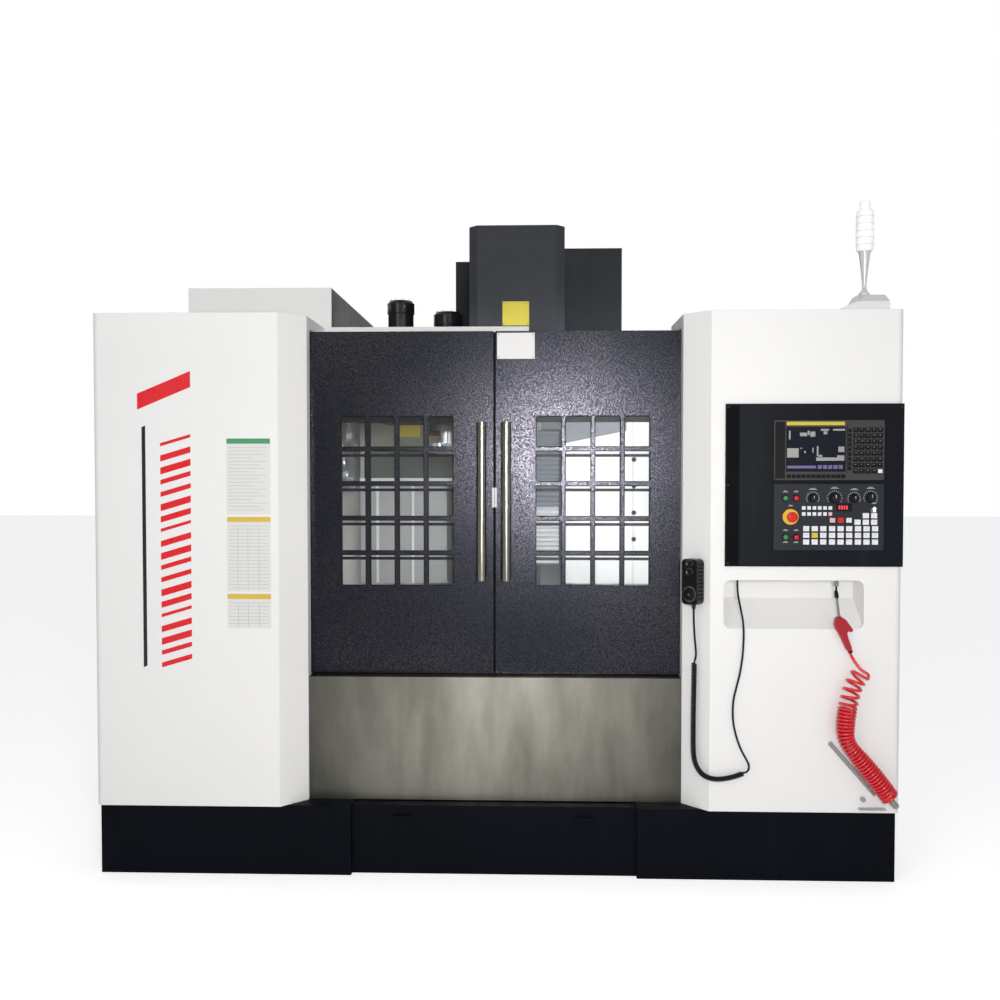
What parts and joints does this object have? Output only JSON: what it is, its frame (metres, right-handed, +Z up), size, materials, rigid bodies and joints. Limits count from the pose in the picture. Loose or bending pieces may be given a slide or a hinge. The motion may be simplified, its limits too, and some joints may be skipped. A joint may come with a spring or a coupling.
{
  "type": "cnc machining center",
  "caption": "Vertical machining centre with sliding front doors, travelling table and head, arm tool changer and a control panel in the right cabinet.",
  "frame": {"origin": "on the floor under the middle of the machine's width and depth", "axes": "+X to the machine's right as seen by its operator, +Y from the operator to the rear, +Z up"},
  "size_m": [3.02, 2.38, 2.7],
  "materials": {
    "white_paint": "fine textured powder coat",
    "grey_paint": "fine textured powder coat",
    "door_paint": "dark hammered paint",
    "base_paint": "satin paint",
    "cover_paint": "satin paint",
    "casting": "filled and painted casting",
    "stainless": "brushed",
    "handle_steel": "satin",
    "ground_steel": "ground",
    "magazine_metal": "anodised",
    "pane": "laminated",
    "panel_paint": "fine textured paint",
    "unit_plastic": "moulded",
    "red_plastic": "polished",
    "green_plastic": "polished",
    "knob_plastic": "moulded",
    "key_metal": "polished",
    "motor_paint": "satin paint",
    "stand_metal": "polished",
    "lamp_plastic": "translucent",
    "gun_red": "polished",
    "fitting_metal": "satin",
    "cable_rubber": "smooth",
    "hose_red": "smooth"
  },
  "bodies": {
    "base": {"bed": "casting", "base_skirt": "base_paint", "coolant_tank": "base_paint", "leveling_feet": "ground_steel", "left_cabinet": "white_paint", "right_cabinet": "white_paint", "apron": "stainless", "door_rails": "ground_steel", "rear_enclosure": "white_paint", "magazine_cover": "white_paint", "electrical_cabinet": "grey_paint", "column": "casting", "column_cover": "cover_paint", "chain_guard": "cover_paint", "guide_rails": "ground_steel", "drive_motors": "motor_paint", "changer_gearbox": "casting", "control_box": "panel_paint", "display_unit": "unit_plastic", "keypad": "unit_plastic", "pendant_body": "knob_plastic", "signal_stand": "stand_metal", "signal_lamp": "lamp_plastic", "air_gun": "gun_red", "hose_fittings": "fitting_metal", "pendant_cable": "cable_rubber", "pendant_coil": "cable_rubber", "air_hose": "hose_red", "air_hose_coil": "hose_red"},
    "left_door": {"left_door": "door_paint", "left_glass": "pane", "left_handle": "handle_steel"},
    "right_door": {"right_door": "door_paint", "right_glass": "pane", "right_handle": "handle_steel"},
    "electrical_door": {"electrical_door": "grey_paint"},
    "saddle": {"saddle": "casting", "x_motor": "motor_paint"},
    "table": {"table": "ground_steel"},
    "x_screw": {"x_screw": "ground_steel"},
    "y_screw": {"y_screw": "ground_steel"},
    "z_screw": {"z_screw": "ground_steel"},
    "head": {"head": "casting", "head_hood": "cover_paint", "spindle_motor": "motor_paint"},
    "spindle": {"spindle": "ground_steel"},
    "changer_shaft": {"changer_shaft": "ground_steel"},
    "changer_arm": {"changer_arm": "ground_steel"},
    "magazine_disc": {"magazine_disc": "magazine_metal"},
    "stop_button": {"stop_button": "red_plastic"},
    "start_button": {"start_button": "green_plastic"},
    "hold_button": {"hold_button": "red_plastic"},
    "power_on_button": {"power_on_button": "green_plastic"},
    "power_off_button": {"power_off_button": "red_plastic"},
    "mode_knob": {"mode_knob": "knob_plastic"},
    "feed_knob": {"feed_knob": "knob_plastic"},
    "rapid_knob": {"rapid_knob": "knob_plastic"},
    "spindle_knob": {"spindle_knob": "knob_plastic"},
    "key_switch": {"key_switch": "key_metal"},
    "pendant_dial": {"pendant_dial": "knob_plastic"}
  },
  "joints": [
    {"name": "left_door_slide", "type": "slide", "parent": "base", "child": "left_door", "axis": [-1, 0, 0], "range_m": [0, 0.64]},
    {"name": "right_door_slide", "type": "slide", "parent": "base", "child": "right_door", "axis": [1, 0, 0], "range_m": [0, 0.64]},
    {"name": "electrical_door_hinge", "type": "hinge", "parent": "base", "child": "electrical_door", "pos_m": [-0.63, 1.163, 1.25], "axis": [0, 0, 1], "range_deg": [0, 110]},
    {"name": "saddle_slide", "type": "slide", "parent": "base", "child": "saddle", "axis": [0, 1, 0], "range_m": [-0.3, 0.3]},
    {"name": "table_slide", "type": "slide", "parent": "saddle", "child": "table", "axis": [1, 0, 0], "range_m": [-0.55, 0.55]},
    {"name": "head_slide", "type": "slide", "parent": "base", "child": "head", "axis": [0, 0, 1], "range_m": [-0.6, 0]},
    {"name": "x_screw_turn", "type": "hinge", "parent": "saddle", "child": "x_screw", "pos_m": [0.078, -0.231, 0.7], "axis": [1, 0, 0], "continuous": true},
    {"name": "y_screw_turn", "type": "hinge", "parent": "base", "child": "y_screw", "pos_m": [0.078, 0, 0.49], "axis": [0, 1, 0], "continuous": true},
    {"name": "z_screw_turn", "type": "hinge", "parent": "base", "child": "z_screw", "pos_m": [0.078, 0.414, 1.8], "axis": [0, 0, 1], "continuous": true},
    {"name": "spindle_turn", "type": "hinge", "parent": "head", "child": "spindle", "pos_m": [0.078, -0.231, 1.7], "axis": [0, 0, 1], "continuous": true},
    {"name": "changer_extend", "type": "slide", "parent": "base", "child": "changer_shaft", "axis": [0, 0, -1], "range_m": [0, 0.115]},
    {"name": "changer_swing", "type": "hinge", "parent": "changer_shaft", "child": "changer_arm", "pos_m": [-0.25, -0.231, 1.64], "axis": [0, 0, 1], "range_deg": [0, 180]},
    {"name": "magazine_turn", "type": "hinge", "parent": "base", "child": "magazine_disc", "pos_m": [-0.77, 0.209, 1.85], "axis": [1, 0, 0], "continuous": true},
    {"name": "stop_push", "type": "slide", "parent": "base", "child": "stop_button", "axis": [0, 1, 0], "range_m": [0, 0.004]},
    {"name": "start_push", "type": "slide", "parent": "base", "child": "start_button", "axis": [0, 1, 0], "range_m": [0, 0.004], "stiffness_N_per_m": 300},
    {"name": "hold_push", "type": "slide", "parent": "base", "child": "hold_button", "axis": [0, 1, 0], "range_m": [0, 0.004], "stiffness_N_per_m": 300},
    {"name": "power_on_push", "type": "slide", "parent": "base", "child": "power_on_button", "axis": [0, 1, 0], "range_m": [0, 0.004], "stiffness_N_per_m": 300},
    {"name": "power_off_push", "type": "slide", "parent": "base", "child": "power_off_button", "axis": [0, 1, 0], "range_m": [0, 0.004], "stiffness_N_per_m": 300},
    {"name": "mode_turn", "type": "hinge", "parent": "base", "child": "mode_knob", "pos_m": [1.175, -1.139, 1.436], "axis": [0, 1, 0], "range_deg": [0, 240]},
    {"name": "feed_turn", "type": "hinge", "parent": "base", "child": "feed_knob", "pos_m": [1.254, -1.139, 1.436], "axis": [0, 1, 0], "range_deg": [0, 300]},
    {"name": "rapid_turn", "type": "hinge", "parent": "base", "child": "rapid_knob", "pos_m": [1.325, -1.139, 1.435], "axis": [0, 1, 0], "range_deg": [0, 90]},
    {"name": "spindle_rate_turn", "type": "hinge", "parent": "base", "child": "spindle_knob", "pos_m": [1.385, -1.139, 1.438], "axis": [0, 1, 0], "range_deg": [0, 210]},
    {"name": "key_turn", "type": "hinge", "parent": "base", "child": "key_switch", "pos_m": [1.397, -1.139, 1.394], "axis": [0, 1, 0], "range_deg": [0, 90]},
    {"name": "dial_turn", "type": "hinge", "parent": "base", "child": "pendant_dial", "pos_m": [0.7306, -1.1135, 1.078], "axis": [-0.7071, -0.7071, 0], "continuous": true}
  ],
  "couplings": [
    {"joint": "x_screw_turn", "follows": "table_slide", "rad_per_m": 392.7},
    {"joint": "y_screw_turn", "follows": "saddle_slide", "rad_per_m": 392.7},
    {"joint": "z_screw_turn", "follows": "head_slide", "rad_per_m": 392.7}
  ]
}
